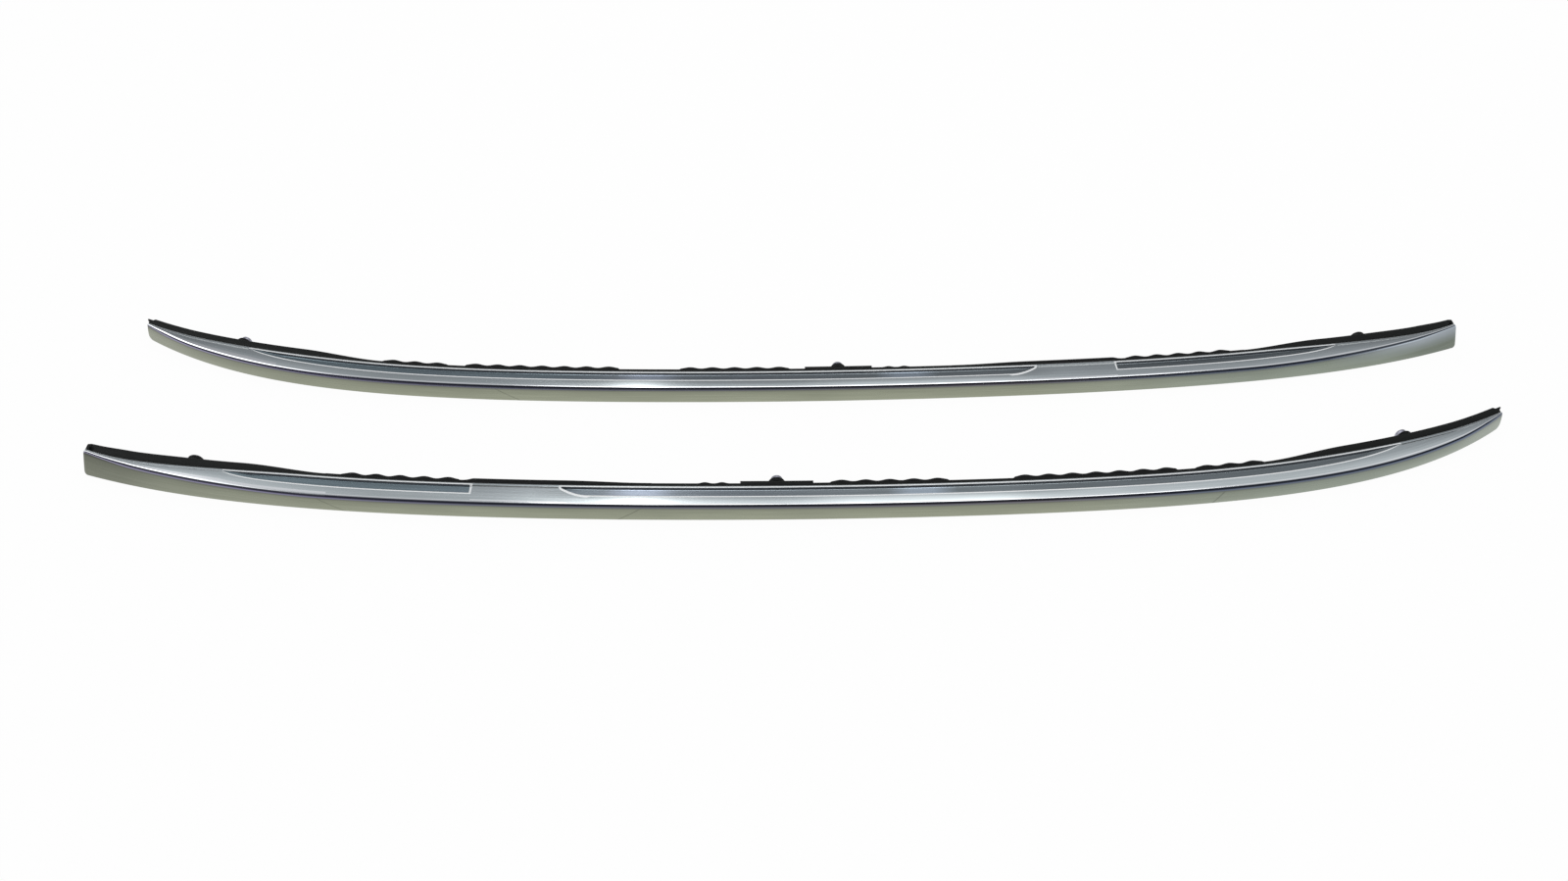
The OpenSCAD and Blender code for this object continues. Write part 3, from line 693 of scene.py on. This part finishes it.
def build_underlay(side):
    """The two foot pads, the strip between them, the middle pad and the tab past the tip."""
    end = REAR_PAD + RAMP
    start = RAIL_LEN - FRONT_PAD - RAMP
    x = np.unique(np.concatenate([cos_steps(0, CORNER_R, 7), stations(CORNER_R, end, 8.0)]))
    pad_piece(side + "_rear_pad_body", side + "_rear_pad", side, x, rear_pad_t(x), pad_black,
              1.8)
    x = stations(end, start, 9.0)
    pad_piece(side + "_underlay_strip", side + "_underlay", side, x, 0 * x + STRIP_T, strip_black,
              0.9)
    x = np.unique(np.concatenate([stations(start, RAIL_LEN - TIP_R, 7.0),
                                  cos_steps(RAIL_LEN - TIP_R, RAIL_LEN, 7, False)]))
    pad_piece(side + "_front_pad_body", side + "_front_pad", side, x, front_pad_t(x), pad_black,
              1.8)
    x = stations(*MID_PAD, 6.0)
    pad_piece(side + "_middle_pad_body", side + "_middle_pad", side, x, 0 * x + MID_PAD_T, pad_black,
              1.2, INSET + 1, STRIP_T)
    # tab past the tip
    d = np.array([-TAB_LEN, 0.0, TAB_LEN - 0.8, TAB_LEN - 0.2, TAB_LEN])
    shrink = np.array([0.0, 0.0, 0.0, 0.25, 0.6])
    corners = ((shrink, TAB_Z - TAB_W + shrink), (shrink, TAB_Z - shrink),
               (TAB_T - shrink, TAB_Z - shrink), (TAB_T - shrink, TAB_Z - TAB_W + shrink))
    c, sn = math.cos(TIP_ANGLE), math.sin(TIP_ANGLE)
    ring = [np.stack([TAB_X + c * d - sn * t, TAB_Y + sn * d + c * t, z], -1) for t, z in corners]
    rings = np.stack(ring, 1)
    verts = place(rings.reshape(-1, 3), side)
    faces = []
    for i in range(len(d) - 1):
        for j in range(4):
            a, b = i * 4 + j, i * 4 + (j + 1) % 4
            faces.append([a, b, b + 4, a + 4])
    faces += [[3, 2, 1, 0], [len(verts) - 4 + j for j in range(4)]]
    if side == "left":
        faces = [f[::-1] for f in faces]
    uv = np.stack([rings[..., 0], rings[..., 2]], -1).reshape(-1, 2) * MM
    ob = make_mesh(side + "_tip_tab", verts, faces, uv, None, (pad_black,), smooth=False)
    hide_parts(side + "_front_pad")
    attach(ob, "root")


# stretches of waves: start, number of waves, height of the valleys and of the crests above them
WAVES = ((REAR_PAD + RAMP + 19, 5, 1.2, 3.2), (MID_PAD[1] + 21, 5, 2.0, 2.8),
         (MID_PAD[1] + 259, 7, 2.6, 3.0), (RAIL_LEN - FRONT_PAD - RAMP - 93, 3, 1.6, 2.8))
HUMPS = ((803.0, 824.0, 2.4), (825.0, 846.0, 2.4))  # start, end and height of the humps by the middle pad


def lip_runs():
    """Stations and reach of each stretch of the lip."""
    for a, count, valley, crest in WAVES:
        b = a + PITCH * count
        x = np.unique(np.concatenate([[a, a + 0.8, b - 0.8, b], stations(a + 1.5, b - 1.5, 1.3)]))
        step = ease(rise(x - a, 2.5)) * ease(rise(b - x, 2.5))
        yield x, 0.3 + valley * step + crest * np.sin(math.pi * (x - a) / PITCH) ** 2
    x = np.unique(np.concatenate([stations(SMOOTH[0], SMOOTH[0] + 14, 2.0),
                                  stations(SMOOTH[0] + 14, SMOOTH[1], 5.0)]))
    yield x, LIP_FLAT + LIP_SMOOTH * ease(rise(x - SMOOTH[0], 12.0)) * ease(rise(SMOOTH[1] - x, SMOOTH_FADE))
    for a, b, high in HUMPS:
        x = stations(a, b, 1.5)
        yield x, 0.2 + high * np.sin(math.pi * (x - a) / (b - a)) ** 2


def build_lip(side):
    """Wavy and smooth stretches of the thin lip, each with a rounded edge."""
    verts, faces, uvs = [], [], []
    for x, reach in lip_runs():
        y0 = roof_y(x) + STRIP_T - 0.3
        z1 = face_w(x) - SIDE_DRAFT - INSET - 0.8
        y1 = roof_y(x) + STRIP_T + 0.3 + reach
        r = np.minimum(0.9, 0.5 * (y1 - y0))
        ring = [np.stack([x, y0, z1 - LIP_T], -1), np.stack([x, y0, z1], -1), np.stack([x, y1 - r, z1], -1),
                np.stack([x, y1 - 0.3 * r, z1 - 0.3 * r], -1), np.stack([x, y1, z1 - r], -1),
                np.stack([x, y1, z1 - LIP_T + r], -1), np.stack([x, y1 - 0.3 * r, z1 - LIP_T + 0.3 * r], -1),
                np.stack([x, y1 - r, z1 - LIP_T], -1)]
        rings = np.stack(ring, 1)
        m, n = rings.shape[:2]
        base = len(verts)
        verts += [tuple(v) for v in place(rings.reshape(-1, 3), side)]
        uvs += [(p[0] * MM, j * MM) for row in rings for j, p in enumerate(row)]
        for i in range(m - 1):
            for j in range(n):
                jj = (j + 1) % n
                q = [base + i * n + j, base + i * n + jj, base + (i + 1) * n + jj, base + (i + 1) * n + j]
                faces.append(q if side == "right" else q[::-1])
        for row, turn in ((0, True), (m - 1, False)):
            f = [base + row * n + j for j in range(n)]
            faces.append(f[::-1] if turn == (side == "right") else f)
    ob = make_mesh(side + "_seal_lip_waves", verts, faces, uvs, None, (lip_black,))
    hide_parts(side + "_seal_lip")
    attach(ob, "root")


# mounts
def lathe(name, side, where, profile, mat, steps=64):
    """Turns a closed profile of (radius, distance from the roof edge) round a mount's own axis."""
    a = math.atan2(at(roof_y, where + 1) - at(roof_y, where - 1), 2.0)
    base = np.array([where, at(roof_y, where), MOUNT_Z])
    along = np.array([-math.sin(a), math.cos(a), 0.0])
    across = np.array([math.cos(a), math.sin(a), 0.0])
    up = np.array([0.0, 0.0, 1.0])
    n = len(profile)
    verts, faces, uvs = [], [], []
    for i in range(steps):
        t = 2 * math.pi * i / steps
        for r, d in profile:
            verts.append(base + along * d + (across * math.cos(t) + up * math.sin(t)) * r)
            uvs.append((t * 0.01, d * MM))
    for i in range(steps):
        ii = (i + 1) % steps
        for j in range(n):
            jj = (j + 1) % n
            q = [i * n + j, ii * n + j, ii * n + jj, i * n + jj]
            faces.append(q if side == "right" else q[::-1])
    return make_mesh(name, place(np.array(verts), side), faces, uvs, None, (mat,))


def build_mounts(side):
    """Collar and spigot of each mount. The rear collars stand out further than in the part."""
    for which, where, reach in MOUNTS:
        under = {"rear": REAR_PAD_T, "middle": MID_PAD_T, "front": at(front_pad_t, where)}[which] + GAP
        ro, ri = COLLAR_D / 2, SPIGOT_D / 2 + GAP
        top = reach + SPIGOT_SHOW
        reach += REAR_COLLAR_MORE if which == "rear" else 0.0
        h = reach - under
        prof = [(ri, under), (ro - 0.6, under), (ro, under + 0.5), (ro, under + 0.32 * h),
                (ro - 0.5, under + 0.36 * h), (ro - 0.5, under + 0.44 * h), (ro, under + 0.48 * h),
                (ro, reach - COLLAR_ROUND - 0.2)]
        prof += [(ro - COLLAR_ROUND * (1 - math.cos(t)), reach - COLLAR_ROUND * (1 - math.sin(t)))
                 for t in arc(8, 90, 6)]
        prof += [(ri, reach)]
        collar = lathe(f"{side}_{which}_collar_body", side, where, prof, collar_black)
        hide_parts(f"{side}_{which}_collar")
        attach(collar, "root")
        rs, rt = SPIGOT_D / 2, THREAD_D / 2
        prof = [(0.01, 0.3), (rs, 0.3)]
        prof += [(rs - SPIGOT_ROUND * (1 - math.cos(t)), top - SPIGOT_ROUND * (1 - math.sin(t)))
                 for t in arc(0, 90, 7)]
        prof += [(rt + 0.6, top), (rt, top - 0.6)]
        d = top - 0.9
        while d > top - THREAD_DEEP + THREAD_PITCH:
            prof += [(rt, d), (rt + THREAD_RIDGE, d - THREAD_PITCH / 2)]
            d -= THREAD_PITCH
        prof += [(rt, top - THREAD_DEEP), (0.01, top - THREAD_DEEP)]
        spigot = lathe(f"{side}_{which}_spigot_body", side, where, prof, spigot_grey)
        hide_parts(f"{side}_{which}_spigot")
        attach(spigot, "root")
        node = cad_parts[f"{side}_{which}_anchor"]
        node.data.materials.clear()
        node.data.materials.append(anchor_zinc)


for side in ("right", "left"):
    build_rail(side)
    build_underlay(side)
    build_lip(side)
    build_mounts(side)


# camera, as fitted to the edges of both rails in the photograph
CAM_DOWN, CAM_TURN, CAM_ROLL = 45.0, -1.91, 0.71  # degrees
CAM_AIM = (-33.7, -MIDDLE + 143.5, 0.0)  # millimetres
CAM_FAR = 1.829  # metres from the aim
CAM_FOCUS, PHOTO_W, SENSOR_W = 1382.0, 1600.0, 36.0  # pixels, pixels, millimetres


def camera():
    el, az, roll = math.radians(CAM_DOWN), math.radians(CAM_TURN), math.radians(CAM_ROLL)
    target = Vector(CAM_AIM) * MM
    fwd = Vector((-math.sin(az) * math.cos(el), math.cos(az) * math.cos(el), -math.sin(el)))
    right = Vector((math.cos(az), math.sin(az), 0.0))
    up = right.cross(fwd)
    r = right * math.cos(roll) + up * math.sin(roll)
    u = up * math.cos(roll) - right * math.sin(roll)
    cam = bpy.data.cameras.new("camera")
    cam.sensor_fit = "HORIZONTAL"
    cam.sensor_width = SENSOR_W
    cam.lens = CAM_FOCUS / PHOTO_W * SENSOR_W
    cam.clip_start, cam.clip_end = 0.05, 60.0
    ob = bpy.data.objects.new("camera", cam)
    bpy.context.scene.collection.objects.link(ob)
    ob.matrix_world = Matrix.Translation(target - fwd * CAM_FAR) @ Matrix((
        (r.x, u.x, -fwd.x, 0), (r.y, u.y, -fwd.y, 0), (r.z, u.z, -fwd.z, 0), (0, 0, 0, 1)))
    bpy.context.scene.camera = ob


camera()


# floor, world and lamps
def seen_directly(tree):
    """1 for rays from the camera and for mirrored and transmitted rays."""
    lp = tree.nodes.new("ShaderNodeLightPath")
    add = tree.nodes.new("ShaderNodeMath")
    add.operation = "MAXIMUM"
    tree.links.new(lp.outputs["Is Camera Ray"], add.inputs[0])
    tree.links.new(lp.outputs["Is Glossy Ray"], add.inputs[1])
    both = tree.nodes.new("ShaderNodeMath")
    both.operation = "MAXIMUM"
    tree.links.new(add.outputs[0], both.inputs[0])
    tree.links.new(lp.outputs["Is Transmission Ray"], both.inputs[1])
    return both.outputs[0]


PAPER_WHITE = 0.965  # share of plain white in the floor as the camera sees it
AMBIENT = 0.75


def build_floor():
    me = bpy.data.meshes.new("floor")
    r = 12.0
    me.from_pydata([(-r, -r, 0), (r, -r, 0), (r, r, 0), (-r, r, 0)], [], [(0, 1, 2, 3)])
    ob = bpy.data.objects.new("floor", me)
    bpy.context.scene.collection.objects.link(ob)
    mat = bpy.data.materials.new("floor_paper")
    mat.use_nodes = True
    t = mat.node_tree
    out = t.nodes["Material Output"]
    bsdf = t.nodes["Principled BSDF"]
    socket(bsdf, "Base Color", (0.9, 0.9, 0.9, 1.0))
    socket(bsdf, "Roughness", 0.9)
    socket(bsdf, "Specular IOR Level", 0.1)
    em = t.nodes.new("ShaderNodeEmission")
    socket(em, "Strength", 1.0)
    part = t.nodes.new("ShaderNodeMixShader")
    part.inputs[0].default_value = PAPER_WHITE
    t.links.new(bsdf.outputs[0], part.inputs[1])
    t.links.new(em.outputs[0], part.inputs[2])
    mix = t.nodes.new("ShaderNodeMixShader")
    t.links.new(seen_directly(t), mix.inputs[0])
    t.links.new(bsdf.outputs[0], mix.inputs[1])
    t.links.new(part.outputs[0], mix.inputs[2])
    t.links.new(mix.outputs[0], out.inputs["Surface"])
    me.materials.append(mat)


def build_world():
    w = bpy.data.worlds.new("studio")
    bpy.context.scene.world = w
    w.use_nodes = True
    t = w.node_tree
    t.nodes.clear()
    out = t.nodes.new("ShaderNodeOutputWorld")
    a = t.nodes.new("ShaderNodeBackground")
    b = t.nodes.new("ShaderNodeBackground")
    socket(a, "Color", (1.0, 1.0, 1.0, 1.0))
    socket(a, "Strength", AMBIENT)
    socket(b, "Color", (1.0, 1.0, 1.0, 1.0))
    socket(b, "Strength", 1.0)
    mix = t.nodes.new("ShaderNodeMixShader")
    t.links.new(seen_directly(t), mix.inputs[0])
    t.links.new(a.outputs[0], mix.inputs[1])
    t.links.new(b.outputs[0], mix.inputs[2])
    t.links.new(mix.outputs[0], out.inputs["Surface"])


def stage_only(ob):
    """Keeps a stage object to mirrored rays."""
    ob.visible_camera = False
    ob.visible_diffuse = False
    ob.visible_transmission = False
    ob.visible_volume_scatter = False
    ob.visible_shadow = False


TENT_R, TENT_X = 3.2, 16.0


def build_tent():
    """A half cylinder over the pair that only mirrored rays see: dark overhead, a broad bright window behind
    whose light changes along the rails with two narrow bright spots, and a dimmer strip below the window."""
    n, m = 48, 8
    verts, faces, uvs = [], [], []
    for i in range(n + 1):
        deg = 6.0 + 168.0 * i / n
        a = math.radians(deg)
        for j in range(m + 1):
            x = TENT_X * (2.0 * j / m - 1.0)
            verts.append((x, TENT_R * math.cos(a), TENT_R * math.sin(a)))
            uvs.append((j / m, deg / 180.0))
    for i in range(n):
        for j in range(m):
            k = i * (m + 1) + j
            faces.append((k, k + 1, k + m + 2, k + m + 1))
    t = Nodes("tent_light")
    t.tree.nodes.remove(t.bsdf)
    along, angle = t.parts("UV")[:2]

    def by_angle(stops):
        return t.ramp(angle, [(deg / 180.0, c) for deg, c in stops])

    def by_x(stops):
        return t.ramp(along, [((x + TENT_X) / (2 * TENT_X), c) for x, c in stops])

    dark = by_angle(((18.0, (0.36, 0.35, 0.36)), (30.0, (0.25, 0.25, 0.26)), (45.0, (0.17, 0.18, 0.20)),
                     (90.0, (0.09, 0.10, 0.11)), (122.0, (0.09, 0.09, 0.105)), (135.0, (0.11, 0.11, 0.125)),
                     (150.0, (0.16, 0.16, 0.18)), (165.0, 0.3), (175.0, 0.8)))
    window = by_angle(((44.0, 0.0), (48.0, 0.35), (53.0, 0.75), (57.0, 1.0), (78.0, 1.0), (95.0, 0.0)))
    window_x = by_x(((-2.3, 2.4), (-2.0, 1.2), (-1.9, 0.27), (-1.05, 0.27), (-0.95, 0.4), (-0.8, 1.0),
                     (-0.55, 1.0), (-0.52, 3.2), (-0.46, 3.2), (-0.43, 0.9), (-0.25, 0.9), (0.0, 0.5),
                     (0.2, 0.7), (0.25, 1.0), (0.50, 1.0), (0.53, 3.2), (0.59, 3.2), (0.62, 1.0), (0.9, 1.0),
                     (1.0, 0.5), (3.0, 0.45)))
    low = by_angle(((34.0, 0.0), (40.0, 0.5), (46.0, 1.0), (52.0, 1.0), (60.0, 0.0)))
    low_x = by_x(((-2.0, 0.4), (-0.55, 0.32), (-0.52, 2.4), (-0.46, 2.4), (-0.43, 0.34), (0.15, 0.32),
                  (0.25, 0.6), (0.50, 0.6), (0.53, 2.4), (0.59, 2.4), (0.62, 0.6), (0.85, 0.6), (0.95, 0.34),
                  (3.0, 0.32)))
    total = t.mix(1.0, dark, t.mix(1.0, window, window_x, "MULTIPLY"), "ADD")
    total = t.mix(1.0, total, t.mix(1.0, low, low_x, "MULTIPLY"), "ADD")
    em = t.add("ShaderNodeEmission")
    t.link(total, em.inputs["Color"])
    t.link(em.outputs[0], t.tree.nodes["Material Output"].inputs["Surface"])
    ob = make_mesh("tent", verts, faces, uvs, None, (t.mat,), smooth=False)
    stage_only(ob)


def lamp(name, loc, target, size, power):
    d = bpy.data.lights.new(name, "AREA")
    d.shape = "RECTANGLE"
    d.size, d.size_y = size
    d.energy = power
    ob = bpy.data.objects.new(name, d)
    bpy.context.scene.collection.objects.link(ob)
    ob.location = loc
    ob.rotation_euler = (Vector(target) - Vector(loc)).to_track_quat("-Z", "Y").to_euler()


build_floor()
build_world()
build_tent()
lamp("top_softbox", (0.3, 0.9, 2.4), (0, -0.05, 0), (2.4, 0.5), 9.0)
